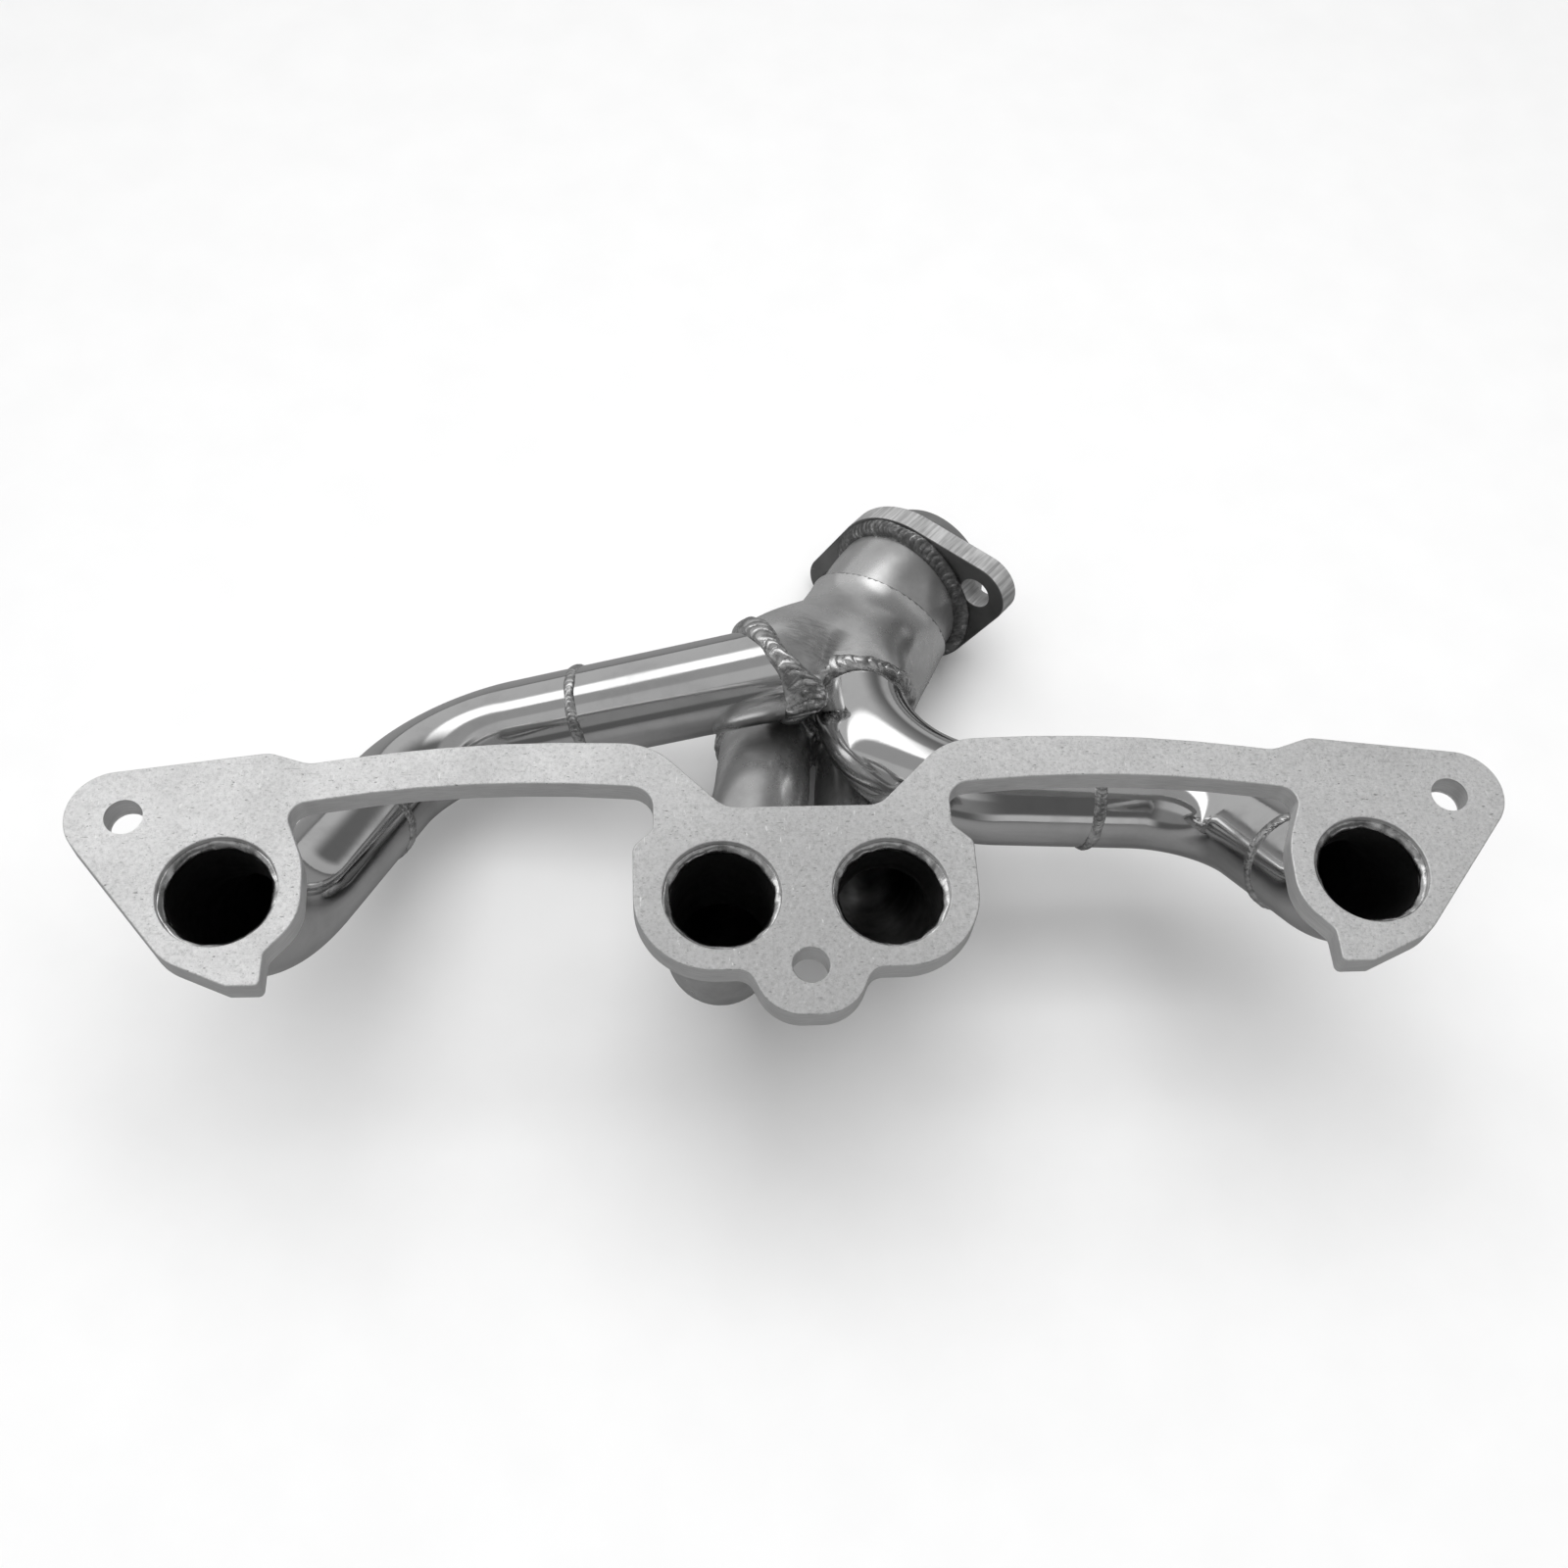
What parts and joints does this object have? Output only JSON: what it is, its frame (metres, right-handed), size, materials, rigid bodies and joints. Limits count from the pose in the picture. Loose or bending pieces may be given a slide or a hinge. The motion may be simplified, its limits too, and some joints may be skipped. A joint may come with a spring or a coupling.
{
  "type": "exhaust manifold",
  "caption": "Welded header: a bolt-on port flange, bent primary tubes, a merge collector and a short outlet pipe with a lozenge flange and ball seat.",
  "frame": {"origin": "on the port flange's sealing face, midway between the two middle ports", "axes": "+X along the port flange towards port 4, +Y in the flange's plane towards the outlet's side, +Z out of the sealing face towards the cylinder head; the tubes lead away along -Z"},
  "size_m": [0.4944, 0.2803, 0.1513],
  "materials": {
    "blasted_plate": "bead-blasted stainless plate with fine speckle, pits and light scratches",
    "polished_tube": "mirror-polished stainless steel",
    "formed_collector": "polished formed stainless sheet, slightly satin",
    "machined_flange": "cut steel with fine cross-cut lines and a dark heat-tinted pipe side",
    "weld_bead": "bright rippled weld metal"
  },
  "bodies": {
    "root": {"port_flange": "blasted_plate", "tube_1_port": "polished_tube", "tube_1_middle": "polished_tube", "tube_1_upper": "polished_tube", "tube_2": "polished_tube", "tube_3": "polished_tube", "tube_4_port": "polished_tube", "tube_4_middle": "polished_tube", "tube_4_upper": "polished_tube", "collector": "formed_collector", "outlet_pipe": "polished_tube", "outlet_flange": "machined_flange", "outlet_seat": "machined_flange", "port_weld_1": "weld_bead", "port_weld_2": "weld_bead", "port_weld_3": "weld_bead", "port_weld_4": "weld_bead", "collector_weld_1": "weld_bead", "collector_weld_2": "weld_bead", "collector_weld_3": "weld_bead", "collector_weld_4": "weld_bead", "tube_1_weld_1": "weld_bead", "tube_1_weld_2": "weld_bead", "tube_4_weld_1": "weld_bead", "tube_4_weld_2": "weld_bead", "outlet_weld": "weld_bead"}
  },
  "joints": []
}
